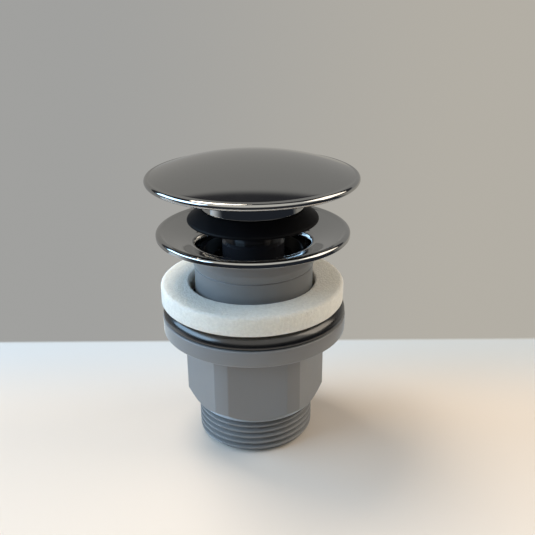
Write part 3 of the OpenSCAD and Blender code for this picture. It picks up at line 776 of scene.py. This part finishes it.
class WASTE_OT_stage(bpy.types.Operator):
    """Pale floor, soft lamps, surround and the camera"""
    bl_idname = "waste.stage"
    bl_label = "Stage"

    def execute(self, context):
        stage = context.scene.waste_stage
        self.floor(stage)
        self.lamp("window_lamp", (-0.70, -0.10, 0.40), (0.90, 0.36), stage.window_power, stage.window_tint)
        self.lamp("fill_lamp", (0.62, 0.05, 0.50), (0.50, 0.50), stage.fill_power, stage.warm_tint)
        self.lamp("top_lamp", (-0.26, 0.20, 0.90), (0.36, 0.36), stage.top_power, stage.warm_tint)
        self.surround(context, stage)
        self.camera(context, stage)
        return {"FINISHED"}

    def floor(self, stage):
        """Large flat sheet just under the object. Rays that come straight from the camera or from a mirror
        see an even grey backdrop from a line behind the object on, and mirrors see a painted dark
        reflection on the floor in front and on the right."""
        reach, drop = 40000.0, -0.3
        corners = [[-reach, -reach, drop], [reach, -reach, drop],
                   [reach, reach, drop], [-reach, reach, drop]]
        sheet = put("floor", corners, [[0, 1, 2, 3]])
        material = bpy.data.materials.new("pale_floor")
        material.use_nodes = True
        tree = material.node_tree
        link = tree.links.new
        shader = tree.nodes["Principled BSDF"]
        shader.inputs["Roughness"].default_value = 0.6
        place = add(tree, "ShaderNodeTexCoord")
        parts = add(tree, "ShaderNodeSeparateXYZ")
        link(place.outputs["Object"], parts.inputs[0])
        x, y = parts.outputs["X"], parts.outputs["Y"]
        end, soft = stage.floor_end, 0.0015
        cool = self.between(tree, y, 0.0, end)
        beyond = self.between(tree, y, end - soft, end + soft)
        ahead = calculate(tree, "ADD", y, stage.camera_back)
        right = self.between(tree, calculate(tree, "DIVIDE", x, ahead), -0.3, 0.36)
        link(blend_colours(tree, cool, stage.floor_front, stage.floor_back), shader.inputs["Base Color"])
        glow = add(tree, "ShaderNodeEmission", in_Strength=1.0)
        link(blend_colours(tree, right, stage.backdrop_left, stage.backdrop_right), glow.inputs["Color"])
        rays = add(tree, "ShaderNodeLightPath")
        straight = calculate(tree, "MAXIMUM", rays.outputs["Is Camera Ray"], rays.outputs["Is Glossy Ray"])
        straight = calculate(tree, "MAXIMUM", straight, rays.outputs["Is Transmission Ray"])
        both = add(tree, "ShaderNodeMixShader")
        link(calculate(tree, "MULTIPLY", straight, beyond), both.inputs["Fac"])
        link(shader.outputs["BSDF"], both.inputs[1])
        link(glow.outputs["Emission"], both.inputs[2])
        # Painted dark reflection: mirrors see the floor in front and on the right as this dark glow
        painted_reflection = add(tree, "ShaderNodeEmission", in_Color=(*stage.painted_front_reflection, 1), in_Strength=1.0)
        from_axis = add(tree, "ShaderNodeVectorMath", operation="LENGTH")
        link(place.outputs["Object"], from_axis.inputs[0])
        outside = self.between(tree, from_axis.outputs["Value"], 0.09, 0.15)
        in_front = self.between(tree, y, 0.05, -0.12)
        before_end = self.between(tree, y, 0.12, 0.03)
        on_right = calculate(tree, "MULTIPLY", self.between(tree, x, -0.09, 0.0), before_end)
        near = calculate(tree, "MULTIPLY", outside, calculate(tree, "MAXIMUM", in_front, on_right))
        all_three = add(tree, "ShaderNodeMixShader")
        link(calculate(tree, "MULTIPLY", rays.outputs["Is Glossy Ray"], near), all_three.inputs["Fac"])
        link(both.outputs["Shader"], all_three.inputs[1])
        link(painted_reflection.outputs["Emission"], all_three.inputs[2])
        link(all_three.outputs["Shader"], tree.nodes["Material Output"].inputs["Surface"])
        sheet.data.materials.append(material)

    @staticmethod
    def between(tree, value, low, high):
        """0 at low and 1 at high, with a smooth rise between."""
        rise = add(tree, "ShaderNodeMapRange", interpolation_type="SMOOTHSTEP",
                   in_From_Min=low, in_From_Max=high)
        tree.links.new(value, rise.inputs["Value"])
        return rise.outputs["Result"]

    def lamp(self, name, place, size, watts, tint):
        """Rectangular area lamp turned towards the middle of the object."""
        data = bpy.data.lights.new(name, "AREA")
        data.shape, data.energy, data.color = "RECTANGLE", watts, tint
        data.size, data.size_y = size
        obj = bpy.data.objects.new(name, data)
        obj.location = place
        middle = np.array([0, 0, 0.05])
        aim = np.array(place) - middle
        flat = math.hypot(aim[0], aim[1])
        obj.rotation_euler = (math.atan2(flat, aim[2]), 0, math.atan2(aim[0], -aim[1]))
        bpy.context.scene.collection.objects.link(obj)

    def surround(self, context, stage):
        """Even grey light from behind and the sides, dark high up behind the object and behind the camera,
        with a bright ceiling above the camera."""
        world = bpy.data.worlds.new("surround")
        context.scene.world = world
        world.use_nodes = True
        tree = world.node_tree
        place = add(tree, "ShaderNodeTexCoord")
        parts = add(tree, "ShaderNodeSeparateXYZ")
        tree.links.new(place.outputs["Generated"], parts.inputs[0])
        x, y, z = parts.outputs["X"], parts.outputs["Y"], parts.outputs["Z"]
        droop, ceiling_share = 0.9, 0.28
        behind = self.between(tree, y, -0.35, 0.1)
        wide = calculate(tree, "MULTIPLY", calculate(tree, "MULTIPLY", x, x), droop)
        high = self.between(tree, calculate(tree, "ADD", wide, z), 0.74, 0.79)
        high = calculate(tree, "MULTIPLY", high, self.between(tree, y, -0.02, 0.04))
        rays = add(tree, "ShaderNodeLightPath")
        seen = calculate(tree, "MAXIMUM", rays.outputs["Is Glossy Ray"], ceiling_share)
        overhead = self.between(tree, z, 0.2, 0.5)
        above = calculate(tree, "MULTIPLY", overhead, self.between(tree, y, 0.05, -0.2))
        above = calculate(tree, "MULTIPLY", above, seen)
        tone = blend_colours(tree, behind, stage.near_side, stage.surround)
        tone = blend_colours(tree, above, tone, stage.ceiling)
        tone = blend_colours(tree, high, tone, stage.dark_patch)
        tree.links.new(tone, tree.nodes["Background"].inputs["Color"])

    def camera(self, context, stage):
        """Camera at the photograph's place and angle."""
        data = bpy.data.cameras.new("camera")
        data.sensor_width, data.lens, data.clip_start = 36.0, stage.lens, 0.01
        obj = bpy.data.objects.new("camera", data)
        turn = Matrix.Rotation(math.pi / 2 - stage.camera_pitch, 4, "X")
        roll = Matrix.Rotation(stage.camera_roll, 4, "Z")
        place = Matrix.Translation((stage.camera_side, -stage.camera_back, stage.camera_up))
        obj.matrix_world = place @ turn @ roll
        context.scene.collection.objects.link(obj)
        context.scene.camera = obj
        context.scene.view_settings.view_transform = "Standard"


class WASTE_PT_panel(bpy.types.Panel):
    """Lists the pieces of the basin waste"""
    bl_label = "Basin Waste"
    bl_idname = "WASTE_PT_panel"
    bl_space_type = "VIEW_3D"
    bl_region_type = "UI"
    bl_category = "Basin Waste"

    def draw(self, context):
        for operator in OPERATORS:
            self.layout.operator(operator.bl_idname)
        scene = context.scene
        for group in (scene.waste_sizes, scene.waste_colours, scene.waste_stage):
            column = self.layout.column()
            for key in group.__annotations__:
                column.prop(group, key)


OPERATORS = (WASTE_OT_plug, WASTE_OT_flange, WASTE_OT_inlet_tube, WASTE_OT_washers, WASTE_OT_outlet_body,
             WASTE_OT_spring, WASTE_OT_inner_pieces, WASTE_OT_stage)
CLASSES = (WasteSizes, WasteColours, WasteStage, *OPERATORS, WASTE_PT_panel)


def register():
    for cls in CLASSES:
        bpy.utils.register_class(cls)
    bpy.types.Scene.waste_sizes = PointerProperty(type=WasteSizes)
    bpy.types.Scene.waste_colours = PointerProperty(type=WasteColours)
    bpy.types.Scene.waste_stage = PointerProperty(type=WasteStage)


def unregister():
    del bpy.types.Scene.waste_stage
    del bpy.types.Scene.waste_colours
    del bpy.types.Scene.waste_sizes
    for cls in reversed(CLASSES):
        bpy.utils.unregister_class(cls)


def main():
    register()
    bpy.ops.waste.plug()
    bpy.ops.waste.flange()
    bpy.ops.waste.inlet_tube()
    bpy.ops.waste.washers()
    bpy.ops.waste.outlet_body()
    bpy.ops.waste.spring()
    bpy.ops.waste.inner_pieces()
    bpy.ops.waste.stage()


if __name__ == "__main__":
    main()
